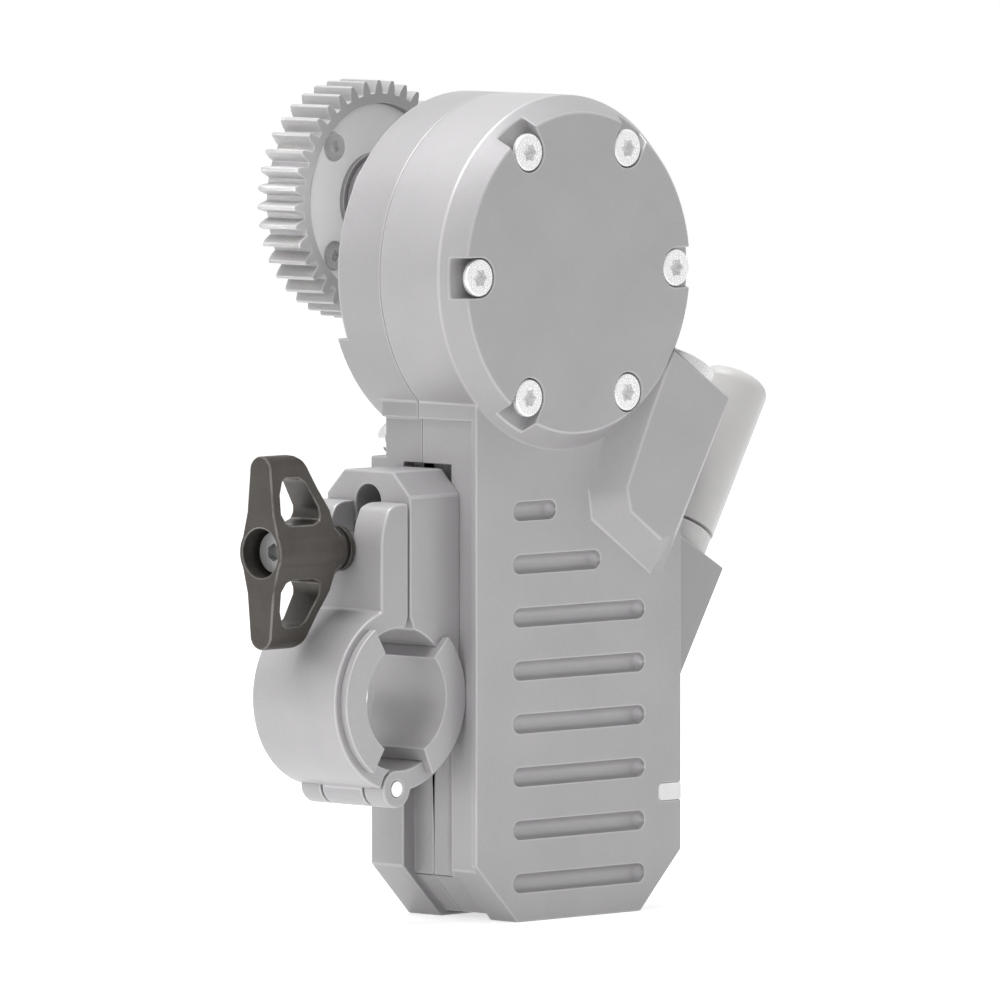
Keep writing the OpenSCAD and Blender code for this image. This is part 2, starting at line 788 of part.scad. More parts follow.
module gear_plate() {
    color("#b9b9bb") difference() {
        bar(head_x, head_z, gear_plate_r, gear_plate_y, parting_y);
        at_cover_screws() bar(0, 0, screw_shank_d/2 + seat_gap, gear_plate_y - over, parting_y + over,
            small_fine);
        bar(head_x, motor_z, motor_hole_r, gear_plate_y - over, parting_y + over, small_fine);
        bar(head_x, mid_z, mid_pin_d/2, gear_plate_y - over, parting_y + over, small_fine);
        // The plate ends in a flat edge below the lower posts
        translate([-body_w, gear_plate_y - over, 0])
            cube([2*body_w, plate_t + 2*over, head_z - gear_plate_r + wall]);
    }
}

module motor_can() {
    color("#a9a9ac") difference() {
        bar(head_x, motor_z, motor_r, gear_plate_y - motor_l, gear_plate_y);
        bar(head_x, motor_z, motor_r - motor_lip*2, gear_plate_y - motor_l + motor_lip*2,
            gear_plate_y - motor_lip*2);
        bar(head_x, motor_z, motor_shaft_d/2 + run_gap, gear_plate_y - motor_l - over,
            gear_plate_y + over, small_fine);
    }
}

module motor_rotor() {
    color("#b87333") {
        bar(head_x, motor_z, motor_shaft_d/2, gear_plate_y - motor_l + motor_lip,
            large_y + train_w + motor_lip, small_fine);
        difference() {
            bar(head_x, motor_z, motor_r - motor_lip*4, gear_plate_y - motor_l + motor_lip*4,
                gear_plate_y - motor_lip*4);
            bar(head_x, motor_z, motor_shaft_d/2, gear_plate_y - motor_l, gear_plate_y, small_fine);
        }
    }
}

module motor_pinion() {
    color("#c9a24a") difference() {
        spur(head_x, motor_z, motor_teeth, train_module, large_y - side_gap, large_y + train_w,
            0, train_tip_share, train_root_share);
        bar(head_x, motor_z, motor_shaft_d/2, parting_y - over, large_y + train_w + over, small_fine);
    }
}

module mid_gear_pin() {
    color("#c8c8ca") bar(head_x, mid_z, mid_pin_d/2, gear_plate_y, head_rear_y - wall/3, small_fine);
}

module mid_gear() {
    color("#c9a24a") difference() {
        union() {
            spur(head_x, mid_z, mid_large_teeth, train_module, large_y, large_y + train_w,
                180 + 180/mid_large_teeth, wheel_tip_share, train_root_share);
            spur(head_x, mid_z, mid_small_teeth, train_module, small_y - over,
                small_y + side_gap + train_w, 0, train_tip_share, train_root_share);
        }
        bar(head_x, mid_z, mid_pin_d/2 + mid_bore_play, parting_y - over, rear_y, small_fine);
    }
}

module output_wheel() {
    color("#b9b9bb") difference() {
        spur(head_x, out_z, out_teeth, train_module, small_y + side_gap, small_y + side_gap + train_w,
            180 + 180/out_teeth, wheel_tip_share, train_root_share);
        bar(head_x, out_z, shaft_d/2, parting_y, rear_y, small_fine);
    }
}

bearing_ys = [small_y + side_gap + train_w + 2*side_gap, neck_end_y - bearing_t - 2*side_gap];

module output_shaft() {
    color("#cfcfd1") bar(head_x, out_z, shaft_d/2, small_y + side_gap, drive_rear_y - shaft_screw_h, small_fine);
}

module bearing_outer_rings() {
    color("#bdbdbf") for (y = bearing_ys) difference() {
        bar(head_x, out_z, bearing_d/2, y, y + bearing_t);
        bar(head_x, out_z, bearing_d/2 - race_t, y - over, y + bearing_t + over);
    }
}

module bearing_inner_rings() {
    color("#bdbdbf") for (y = bearing_ys) difference() {
        bar(head_x, out_z, shaft_d/2 + race_t*0.6, y, y + bearing_t, small_fine);
        bar(head_x, out_z, shaft_d/2, y - over, y + bearing_t + over, small_fine);
    }
}

module bearing_balls() {
    pitch_r = (shaft_d/2 + race_t*0.6 + bearing_d/2 - race_t)/2;
    gap = bearing_d/2 - race_t - shaft_d/2 - race_t*0.6;
    color("#d8d8da") for (y = bearing_ys, i = [0 : balls - 1])
        translate([head_x, y + bearing_t/2, out_z]) rotate([0, i*360/balls, 0])
            translate([pitch_r, 0, 0]) sphere(d = gap - 2*run_gap, $fn = small_fine);
}

module output_neck() {
    color("#232325") difference() {
        turned(head_x, out_z) difference() {
            polygon([[bearing_d/2 - race_t, bearing_ys[0] - side_gap],
                [neck_r - seat_gap, bearing_ys[0] - side_gap], [neck_r - seat_gap, head_rear_y],
                [neck_flange_r, head_rear_y], [neck_flange_r, head_rear_y + neck_fillet/2],
                [neck_r + neck_fillet, head_rear_y + neck_fillet/2],
                [neck_r, head_rear_y + neck_fillet*1.5],
                [neck_r, neck_end_y], [bearing_d/2 - race_t, neck_end_y]]);
            translate([neck_r + neck_fillet, head_rear_y + neck_fillet*1.5])
                circle(r = neck_fillet, $fn = small_fine);
        }
        for (y = bearing_ys) bar(head_x, out_z, bearing_d/2, y - (y == bearing_ys[0] ? 2*side_gap : 0),
            y + bearing_t + (y == bearing_ys[1] ? bearing_t : 0));
    }
}

// Drive gear and its hub

module gear_hub() {
    color("#1e1e20") difference() {
        turned(head_x, out_z) polygon([[0, hub_y], [hub_r - 2*hub_step, hub_y],
            [hub_r - hub_step, hub_y + hub_step], [hub_r - hub_step, disc_y - hub_flange_t - hub_step/2],
            [hub_r - 2*hub_step, disc_y - hub_flange_t - hub_step/2],
            [hub_r - 2*hub_step, disc_y - hub_flange_t],
            [hub_r, disc_y - hub_flange_t], [hub_r, disc_y], [hub_spigot_r, disc_y],
            [hub_spigot_r, drive_rear_y - shaft_screw_h], [0, drive_rear_y - shaft_screw_h]]);
        bar(head_x, out_z, shaft_d/2, hub_y - over, drive_rear_y, small_fine);
    }
}

module at_hub_screws() {
    for (i = [0 : hub_screw_n - 1])
        translate([head_x, 0, out_z]) rotate([0, 45 + i*360/hub_screw_n, 0])
            translate([hub_screw_circle, 0, 0]) children();
}

module hub_disc() {
    color("#cfcfcd") difference() {
        bar(head_x, out_z, disc_r, disc_y, disc_y + disc_t);
        bar(head_x, out_z, hub_spigot_r, disc_y - over, disc_y + disc_t + over);
        at_hub_screws() bar(0, 0, hub_screw_d/2 + seat_gap, disc_y - over, disc_y + disc_t + over,
            small_fine);
    }
}

module hub_screws() {
    color("#c4c4c2") at_hub_screws() difference() {
        union() {
            bar(0, 0, hub_screw_d/2, disc_y - over/4, disc_y + disc_t, small_fine);
            bar(0, 0, hub_screw_shank/2, disc_y + disc_t, disc_y + disc_t + web_t, small_fine);
        }
        bar(0, 0, hex_af*0.4, disc_y - over, disc_y + hex_depth*0.6, 6);
    }
}

module drive_gear() {
    color("#39393b") difference() {
        spur(head_x, out_z, drive_teeth, drive_module, drive_y, drive_rear_y, 0, tooth_tip_share,
            tooth_root_share, drive_backlash_share);
        bar(head_x, out_z, disc_r + seat_gap, drive_y - over, disc_y + disc_t);
        bar(head_x, out_z, hub_spigot_r, drive_y, drive_rear_y + over);
        difference() {
            bar(head_x, out_z, disc_r, disc_y + disc_t + web_t, drive_rear_y + over);
            bar(head_x, out_z, hub_r + hub_step, disc_y, drive_rear_y - shaft_screw_h);
        }
        at_hub_screws() bar(0, 0, hub_screw_shank/2, disc_y, disc_y + disc_t + web_t, small_fine);
    }
}

module shaft_screw() {
    color("#c4c4c2") difference() {
        union() {
            bar(head_x, out_z, shaft_screw_d/2 + hub_step, drive_rear_y - shaft_screw_h,
                drive_rear_y - shaft_screw_h/2);
            bar(head_x, out_z, shaft_screw_d/3, drive_rear_y - shaft_screw_h/2, drive_rear_y
                + shaft_screw_h/4);
        }
        bar(head_x, out_z, hex_af/2, drive_rear_y - shaft_screw_h/2, drive_rear_y + over
            + shaft_screw_h, 6);
    }
}

// Rod clamp

module ring_disc(r = ring_r) {
    translate([rod_x, rod_z]) circle(r = r, $fn = fine);
}

module knuckle_disc(gap = 0) {
    translate([pin_x, pin_z]) circle(r = knuckle_r + gap, $fn = small_fine);
}

// The two lengths of the jaw's knuckles along the pin
jaw_knuckles = [[clamp_y0, clamp_y0 + knuckle_l], [clamp_y1 - knuckle_l, clamp_y1]];

// The jaw: an upright block beside the bolt, the right half of the ring and the outer knuckles
module jaw_form() {
    intersection() {
        union() {
            ring_disc();
            translate([seam_x + jaw_gap/2, rod_z]) square([panel_x - seam_x - jaw_gap/2, jaw_top_z - rod_z]);
        }
        union() {
            translate([seam_x + jaw_gap/2, 0]) square([panel_x - seam_x - jaw_gap/2, head_z]);
            translate([pin_x, 0]) square([panel_x - pin_x, rod_z]);
        }
    }
}

module clamp_jaw() {
    color("#7d7c7f") difference() {
        union() {
            intersection() {
                slab(clamp_y0, clamp_y1) jaw_form();
                // Chamfered top corners, front and rear
                translate([rod_x - ring_r, 0, 0]) rotate([90, 0, 90]) linear_extrude(body_w)
                    polygon([[clamp_y0, 0], [clamp_y1, 0], [clamp_y1, jaw_top_z - jaw_corner],
                        [clamp_y1 - jaw_corner, jaw_top_z], [clamp_y0 + jaw_corner, jaw_top_z],
                        [clamp_y0, jaw_top_z - jaw_corner]]);
            }
            for (y = jaw_knuckles) slab(y[0], y[1]) knuckle_disc();
            // Tongue in the body's channel
            translate([panel_x - over, channel_y0 + tongue_gap, rod_z - ring_r/2])
                cube([channel_floor_x - panel_x + over, channel_y1 - channel_y0 - 2*tongue_gap,
                    tongue_top_z - rod_z + ring_r/2]);
        }
        slab(clamp_y0 - over, clamp_y1 + over) {
            ring_disc(bore_r);
            seam_mouth();
        }
        bar(pin_x, pin_z, pin_d/2, clamp_y0 - over, clamp_y1 + over, small_fine);
        slab(knuckle_mid0 - jaw_gap, knuckle_mid1 + jaw_gap) knuckle_disc(jaw_gap);
        bolt_slot(seam_x - over, pivot_x + eye_r + side_gap);
        bar(pivot_x, bolt_z, cross_pin_d/2, clamp_mid - slot_w, clamp_y1 + over, small_fine);
        for (i = [0, 1]) {
            cross_bar(jaw_screw_y, jaw_screw_zs[i], jaw_screw_d/2 + seat_gap, seam_x,
                channel_floor_x + over, small_fine);
            cross_bar(jaw_screw_y, jaw_screw_zs[i], jaw_screw_head_d/2 + seat_gap, jaw_screw_xs[i] - over,
                jaw_screw_xs[i] + jaw_screw_head_h, small_fine);
        }
    }
}

// The bevelled mouth of the seam at the bore
module seam_mouth() {
    polygon([[seam_x - mouth_w - over, rod_z + bore_r - mouth_w - over],
        [seam_x + mouth_w + over, rod_z + bore_r - mouth_w - over],
        [seam_x, rod_z + bore_r + 2*mouth_w]]);
}

// An arched slot, round at the top, from x0 to x1
module bolt_slot(x0, x1) {
    cross_bar(clamp_mid, slot_top_z - slot_w/2, slot_w/2, x0, x1, small_fine);
    translate([x0, clamp_mid - slot_w/2, slot_low_z])
        cube([x1 - x0, slot_w, slot_top_z - slot_w/2 - slot_low_z]);
}

// Screws that hold the jaw to the rear shell: one in the bore, one under the bolt's slot
module jaw_screws() {
    color("#cfcfcd") for (i = [0, 1]) difference() {
        union() {
            cross_bar(jaw_screw_y, jaw_screw_zs[i], jaw_screw_head_d/2, jaw_screw_xs[i] + 2*run_gap,
                jaw_screw_xs[i] + jaw_screw_head_h, small_fine);
            cross_bar(jaw_screw_y, jaw_screw_zs[i], jaw_screw_d/2, jaw_screw_xs[i] + jaw_screw_head_h,
                jaw_screw_end_x, small_fine);
        }
        cross_bar(jaw_screw_y, jaw_screw_zs[i], hex_af/2, jaw_screw_xs[i] - over,
            jaw_screw_xs[i] + hex_depth, 6);
    }
}

// The arm's outline: ring half, upright plate and a shoulder that the knob rides over
module arm_form() {
    difference() {
        union() {
            intersection() {
                ring_disc();
                union() {
                    translate([rod_x - ring_r, rod_z]) square([ring_r + seam_offset - jaw_gap/2, ring_r]);
                    translate([rod_x - ring_r, rod_z - ring_r]) square([ring_r - pin_shift, ring_r + over]);
                }
            }
            translate([arm_face_x, rod_z]) square([arm_t, bolt_z - rod_z]);
            intersection() {
                union() {
                    translate([arm_face_x, bolt_z - over]) square([arm_t, arm_rise + over - arm_round]);
                    translate([arm_face_x + arm_round, bolt_z]) square([arm_t - arm_round, arm_rise]);
                    translate([arm_face_x + arm_round, arm_top_z - arm_round])
                        circle(r = arm_round, $fn = fine);
                }
                translate([pivot_x, bolt_z]) circle(r = pivot_x - arm_face_x, $fn = 2*fine);
                translate([arm_face_x, rod_z]) square([arm_t, arm_top_z]);
            }
        }
        ring_disc(bore_r);
    }
}

module clamp_arm() {
    color("#7d7c7f") difference() {
        union() {
            slab(clamp_y0, clamp_y1) difference() {
                arm_form();
                seam_mouth();
            }
            slab(knuckle_mid0, knuckle_mid1) difference() {
                knuckle_disc();
                ring_disc(bore_r);
            }
        }
        for (y = jaw_knuckles) slab(y[0] - jaw_gap, y[1] + jaw_gap) knuckle_disc(jaw_gap);
        bar(pin_x, pin_z, pin_d/2 + run_gap, clamp_y0 - over, clamp_y1 + over, small_fine);
        // Open-topped slot for the swing bolt
        translate([arm_face_x - over, clamp_mid - slot_w/2, bolt_z])
            cube([arm_t + 2*over, slot_w, arm_top_z]);
        cross_bar(clamp_mid, bolt_z, slot_w/2, arm_face_x - over, seam_x + over, small_fine);
    }
}

module hinge_pin() {
    color("#e6e4e2") bar(pin_x, pin_z, pin_d/2, clamp_y0, clamp_y1, small_fine);
}

// A liner half: a sleeve sector in the bore with a flange in front
module liner(from, to) {
    sector = [rod_x, rod_z];
    reach = 2*ring_r;
    intersection() {
        union() {
            slab(clamp_y0, clamp_y0 + liner_l) difference() {
                ring_disc(bore_r - liner_gap);
                ring_disc(liner_r);
            }
            slab(clamp_y0 - flange_t, clamp_y0) difference() {
                ring_disc(flange_r);
                ring_disc(liner_r);
            }
        }
        slab(clamp_y0 - 2*flange_t, clamp_y1) polygon([sector,
            sector + reach*[cos(from), sin(from)],
            sector + reach*[cos(from + (to - from)/3), sin(from + (to - from)/3)],
            sector + reach*[cos(from + (to - from)*2/3), sin(from + (to - from)*2/3)],
            sector + reach*[cos(to), sin(to)]]);
    }
}

module liner_jaw() {
    color("#8d8c8e") liner(jaw_liner_from_angle, jaw_liner_to_angle);
}

module liner_arm() {
    color("#8d8c8e") liner(arm_liner_from_angle, arm_liner_to_angle);
}

// Swing bolt, wing knob and their small pieces

module swing_bolt() {
    color("#c6c6c4") difference() {
        union() {
            bar(pivot_x, bolt_z, eye_r, clamp_mid - bolt_r, clamp_mid + bolt_r, small_fine);
            cross_bar(clamp_mid, bolt_z, bolt_r, bolt_end_x, pivot_x, small_fine);
        }
        bar(pivot_x, bolt_z, cross_pin_d/2 + run_gap, clamp_mid - eye_r, clamp_mid + eye_r, small_fine);
        cross_bar(clamp_mid, bolt_z, stop_shank_d/2, bolt_end_x - over, bolt_end_x + stop_shank_l,
            small_fine);
    }
}

module bolt_pin() {
    color("#c6c6c4") bar(pivot_x, bolt_z, cross_pin_d/2, clamp_mid - slot_w, clamp_y1, small_fine);
}

module bolt_stop_screw() {
    color("#4a4a4c") difference() {
        union() {
            cross_bar(clamp_mid, bolt_z, stop_head_d/2, bolt_end_x - stop_head_h, bolt_end_x, small_fine);
            cross_bar(clamp_mid, bolt_z, stop_shank_d/2, bolt_end_x, bolt_end_x + stop_shank_l,
                small_fine);
        }
        cross_bar(clamp_mid, bolt_z, hex_af*5/8, bolt_end_x - stop_head_h - over,
            bolt_end_x - stop_head_h + hex_depth, 6);
    }
}

module thrust_washer() {
    color("#b4b4b2") difference() {
        cross_bar(clamp_mid, bolt_z, washer_r, knob_face_x - washer_t, knob_face_x, small_fine);
        cross_bar(clamp_mid, bolt_z, bolt_r + run_gap, knob_face_x - 2*washer_t, knob_face_x + over,
            small_fine);
    }
}

// Points on one side of the wings, seen from the front, from a table of shares
function wing_points(shares, side) =
    [for (p = shares) [knob_end_x + p[0]*knob_l, side*p[1]*wing_span/2]];
function backwards(points) = [for (i = [len(points) - 1 : -1 : 0]) points[i]];

module wing_outline() {
    polygon(concat(wing_points(wing_shares, 1), backwards(wing_points(wing_shares, -1))));
}

// Section of the wings: flanks drawn in between the hub circle and two round tips
module wing_section() {
    root = flank_share*wing_hub_r;
    tip = flank_share*tip_half_t;
    slim_z = wing_slim_share*wing_span/2;
    circle(r = wing_hub_r, $fn = fine);
    for (s = [-1, 1]) translate([0, s*tip_arm]) circle(r = tip_half_t, $fn = small_fine);
    polygon([[root, 0], [slim_half_t, slim_z], [tip, tip_arm], [-tip, tip_arm],
        [-slim_half_t, slim_z], [-root, 0], [-slim_half_t, -slim_z], [-tip, -tip_arm],
        [tip, -tip_arm], [slim_half_t, -slim_z]]);
}

// The turned envelope that tapers the knob's nose
module knob_envelope() {
    l = knob_l - washer_t;
    translate([knob_end_x, clamp_mid, bolt_z]) rotate([0, 90, 0]) rotate_extrude($fn = fine)
        polygon([[0, -over], [wing_span, -over], [wing_span, nose_from_share*l - wing_hub_r],
            [wing_hub_r + nose_slack, nose_from_share*l], [nose_r, l], [0, l]]);
}

module wing_knob() {
    face = knob_face_x - washer_t;
    color("#35322f") difference() {
        intersection() {
            slab(clamp_mid - hub_d, clamp_mid + hub_d) translate([0, bolt_z]) wing_outline();
            translate([knob_end_x, clamp_mid, bolt_z]) rotate([90, 0, 90])
                linear_extrude(knob_l - washer_t) wing_section();
            knob_envelope();
        }
        for (side = [-1, 1]) slab(clamp_mid - hub_d, clamp_mid + hub_d) translate([0, bolt_z])
            polygon(wing_points(wing_window_shares, side));
        cross_bar(clamp_mid, bolt_z, bolt_r + run_gap, knob_end_x, face + over, small_fine);
        cross_bar(clamp_mid, bolt_z, cup_d/2, knob_end_x - over, knob_end_x + cup_deep, small_fine);
    }
}

front_shell();
rear_shell();
shell_seal();
cover_screws();
rear_screws();
output_neck();
status_window();
main_board();
board_chips();
socket_rings();
socket_inserts();
antenna_collar();
antenna_sleeve();
motor_can();
motor_rotor();
motor_pinion();
gear_plate();
mid_gear_pin();
mid_gear();
output_wheel();
output_shaft();
bearing_outer_rings();
bearing_inner_rings();
bearing_balls();
gear_hub();
hub_disc();
hub_screws();
drive_gear();
shaft_screw();
clamp_jaw();
jaw_screws();
clamp_arm();
hinge_pin();
liner_jaw();
liner_arm();
swing_bolt();
bolt_pin();
bolt_stop_screw();
thrust_washer();
wing_knob();
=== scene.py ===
"""Looks of the follow focus lens motor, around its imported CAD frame."""

import json
import math

import bmesh
import bpy
from mathutils import Matrix, Vector


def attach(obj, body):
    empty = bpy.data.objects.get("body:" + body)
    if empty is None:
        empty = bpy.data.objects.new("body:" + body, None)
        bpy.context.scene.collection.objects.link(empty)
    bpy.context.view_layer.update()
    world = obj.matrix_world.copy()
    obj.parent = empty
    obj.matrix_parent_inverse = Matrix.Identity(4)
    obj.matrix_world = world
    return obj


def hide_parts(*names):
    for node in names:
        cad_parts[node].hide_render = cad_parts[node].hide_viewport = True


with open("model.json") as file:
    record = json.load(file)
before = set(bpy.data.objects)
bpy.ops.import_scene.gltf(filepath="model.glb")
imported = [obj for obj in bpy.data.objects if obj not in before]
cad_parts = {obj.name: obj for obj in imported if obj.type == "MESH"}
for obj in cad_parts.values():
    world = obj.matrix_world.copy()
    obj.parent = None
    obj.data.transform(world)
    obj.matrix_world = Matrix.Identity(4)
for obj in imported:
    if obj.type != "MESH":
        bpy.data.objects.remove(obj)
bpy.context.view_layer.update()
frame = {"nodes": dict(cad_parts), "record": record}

MM = 0.001
NODES = frame["nodes"]
BODIES = frame["record"]["behaviour"]["bodies"]
BODY_OF = {node: body for body, nodes in BODIES.items() for node in nodes}
SLOT_OF = {part["node"]: part["material_slot"] for part in frame["record"]["subparts"]}


# Shader maths

class Level:
    """A value in a material's node tree, used in plain expressions."""

    def __init__(self, finish, socket):
        self.finish = finish
        self.socket = socket

    def math(self, operation, *values):
        return self.finish.add("ShaderNodeMath", {"operation": operation}, dict(enumerate(values)))

    def __add__(self, other):
        return self.math("ADD", self, other)

    def __radd__(self, other):
        return self.math("ADD", other, self)

    def __sub__(self, other):
        return self.math("SUBTRACT", self, other)

    def __rsub__(self, other):
        return self.math("SUBTRACT", other, self)

    def __mul__(self, other):
        return self.math("MULTIPLY", self, other)

    def __rmul__(self, other):
        return self.math("MULTIPLY", other, self)


class Finish:
    """One material: its surface shader, and a single method that adds every other node."""

    def __init__(self, name, **surface):
        self.material = bpy.data.materials.new(name)
        self.material.use_nodes = True
        self.nodes = self.material.node_tree.nodes
        self.links = self.material.node_tree.links
        self.surface = self.nodes["Principled BSDF"]
        self.set(**surface)

    def plug(self, socket, value):
        """Links a Level to the socket, or sets a number or a colour on it."""
        if isinstance(value, Level):
            self.links.new(value.socket, socket)
        elif isinstance(value, tuple) and socket.type == "RGBA":
            socket.default_value = (*value, 1)
        else:
            socket.default_value = value

    def add(self, kind, settings=None, inputs=None, out=0):
        """Adds a node: first its settings, then the values or links of its sockets."""
        node = self.nodes.new(kind)
        for name, value in (settings or {}).items():
            setattr(node, name, value)
        for key, value in (inputs or {}).items():
            self.plug(node.inputs[key], value)
        return Level(self, node.outputs[out])

    def set(self, **surface):
        """Sets sockets of the surface shader, such as base_color or specular_ior_level."""
        for name, value in surface.items():
            self.plug(self.surface.inputs[name.replace("_", " ").title().replace("Ior", "IOR")], value)

    def place(self):
        return self.add("ShaderNodeTexCoord", out="Object")

    def noise(self, size, detail=2, roughness=0.5, stretch=None):
        """Noise with features of about this size in millimetres."""
        where = self.place()
        if stretch:
            where = self.add("ShaderNodeMapping", {}, {"Vector": where, "Scale": stretch})
        return self.add("ShaderNodeTexNoise", {}, {"Vector": where, "Scale": 1/(size*MM), "Detail": detail,
                                                 "Roughness": roughness})

    def soft_step(self, value, low, high):
        """0 up to low, 1 from high on, and smooth between them."""
        return self.add("ShaderNodeMapRange", {"interpolation_type": "SMOOTHSTEP"},
                        {"Value": value, "From Min": low, "From Max": high})

    def edges(self):
        """1 on the rounded outer edges, 0 elsewhere."""
        return self.add("ShaderNodeAttribute", {"attribute_name": "outer_edge"}, out="Fac")

    def mix(self, share, first, second):
        """A colour between two. A Mix node's colours are its inputs 6 and 7 and its output 2."""
        return self.add("ShaderNodeMix", {"data_type": "RGBA"}, {0: share, 6: first, 7: second}, out=2)

    def bump(self, height, depth):
        """The normal of a surface that rises by depth millimetres."""
        return self.add("ShaderNodeBump", {}, {"Height": height, "Distance": depth*MM})


def grey(level, warm=0.0, rosy=0.0):
    """A colour from an sRGB level of 0 to 255, a little warmer, or a little towards purple."""
    def linear(value):
        value = max(0.0, min(1.0, value/255))
        return value/12.92 if value <= 0.04045 else ((value + 0.055)/1.055)**2.4
    return (linear(level + warm + rosy), linear(level - rosy), linear(level - warm + rosy))


# Finishes

def anodised(name, level, edge_highlight_level=None, grain=0.22, depth=0.018, cloud=3, rosy=0.8, roughness=0.44,
             metallic=0.25):
    """Bead-blasted, anodised alloy: fine grain, faint clouds, and a painted highlight on the rounded
    edges.
    """
    finish = Finish(name, metallic=metallic)
    edges = finish.edges()
    fine = finish.noise(grain, detail=3, roughness=0.6)
    clouds = finish.soft_step(finish.noise(14, detail=3), 0.3, 0.7)
    sparkle = finish.soft_step(fine, 0.35, 0.75)*0.35
    colour = finish.mix(clouds, grey(level - cloud, rosy=rosy), grey(level + cloud, rosy=rosy))
    colour = finish.mix(sparkle, colour, grey(level + 16, rosy=rosy))
    # Painted highlight: the rounded outer edges are coloured lighter, as if they caught the light
    colour = finish.mix(edges*0.8, colour, grey(edge_highlight_level or level + 22, rosy=rosy))
    finish.set(base_color=colour, roughness=roughness + (fine - 0.5)*0.12 - edges*0.05,
               normal=finish.bump(fine, depth))
    return finish.material


def machined(name, level, roughness=0.3, metallic=0.9, scratch=(1, 1, 1), depth=0.006, marked=0.6):
    """Bare metal off the lathe or grinder, with fine marks along the small sides of scratch."""
    finish = Finish(name, metallic=metallic)
    marks = finish.noise(0.25, detail=4, roughness=0.65, stretch=scratch)
    stains = finish.soft_step(finish.noise(6), 0.45, 0.8)*0.2
    colour = finish.mix(marks*marked, grey(level - 14), grey(level + 12))
    colour = finish.mix(stains, colour, grey(level - 26, warm=1))
    finish.set(base_color=colour, roughness=roughness + (marks - 0.5)*0.22,
               normal=finish.bump(marks, depth))
    return finish.material


def moulded(name, level, warm=0.0, roughness=0.5, edge_highlight_gain=18, coat=0.0, grain=0.3, depth=0.014):
    """Moulded plastic or rubber with a faint spark texture and a painted highlight on the rounded edges.
    """
    finish = Finish(name, coat_weight=coat)
    fine = finish.noise(grain, detail=3)
    colour = finish.mix(finish.noise(8), grey(level - 4, warm), grey(level + 5, warm))
    # Painted highlight: the rounded outer edges are coloured lighter
    colour = finish.mix(finish.edges()*0.7, colour, grey(level + edge_highlight_gain, warm))
    finish.set(base_color=colour, roughness=roughness + (fine - 0.5)*0.14,
               normal=finish.bump(fine, depth))
    return finish.material


def worn_black(name, warm=4):
    """Black anodised alloy with a warm cast, its edges rubbed bright by fingers."""
    finish = Finish(name, metallic=0.45)
    fine = finish.noise(0.26, detail=3, roughness=0.6)
    handled = finish.noise(4, detail=4, roughness=0.6)
    wear = finish.edges()*finish.soft_step(handled, 0.25, 0.6)
    sparkle = finish.soft_step(fine, 0.5, 0.8)*0.3
    colour = finish.mix(finish.soft_step(handled, 0.3, 0.75), grey(62, warm), grey(70, warm))
    colour = finish.mix(sparkle, colour, grey(92, warm))
    colour = finish.mix(wear*0.6, colour, grey(140, warm))
    finish.set(base_color=colour, roughness=0.4 + (fine - 0.5)*0.16 - wear*0.1,
               normal=finish.bump(fine, depth=0.02))
    return finish.material


def circuit_board(name, cell=3.125):
    """Solder-mask green with faint copper tracks round cells of this size in millimetres."""
    mask = (0.02, 0.12, 0.05)
    track = (0.09, 0.28, 0.12)
    finish = Finish(name, roughness=0.35, coat_weight=0.4)
    to_track = finish.add("ShaderNodeTexVoronoi", {"feature": "DISTANCE_TO_EDGE"},
                          {"Vector": finish.place(), "Scale": 1/(cell*MM)})
    finish.set(base_color=finish.mix(finish.soft_step(to_track, 0.06, 0.1), track, mask),
               normal=finish.bump(to_track, depth=0.03))
    return finish.material


def copper_windings(name):
    """Enamelled copper wire, wound side by side along Y."""
    finish = Finish(name, metallic=0.8, roughness=0.35)
    wires = finish.noise(0.4, stretch=(1, 0.1, 1))
    finish.set(base_color=finish.mix(wires, (0.45, 0.18, 0.07), (0.85, 0.42, 0.2)),
               normal=finish.bump(wires, depth=0.05))
    return finish.material


def gear_brass(name):
    """Brass with the cutter's marks along the teeth."""
    finish = Finish(name, metallic=0.9)
    marks = finish.noise(0.3, detail=3, stretch=(1, 0.15, 1))
    finish.set(base_color=finish.mix(marks, (0.58, 0.4, 0.14), (0.78, 0.58, 0.26)),
               roughness=0.28 + (marks - 0.5)*0.2, normal=finish.bump(marks, depth=0.01))
    return finish.material


def light_window(name):
    """The milky window that the status light shines through."""
    finish = Finish(name, roughness=0.3, coat_weight=0.3, emission_strength=0.12)
    haze = finish.noise(2)
    colour = finish.mix(haze, grey(228), grey(240))
    finish.set(base_color=colour, emission_color=colour, normal=finish.bump(haze, depth=0.01))
    return finish.material


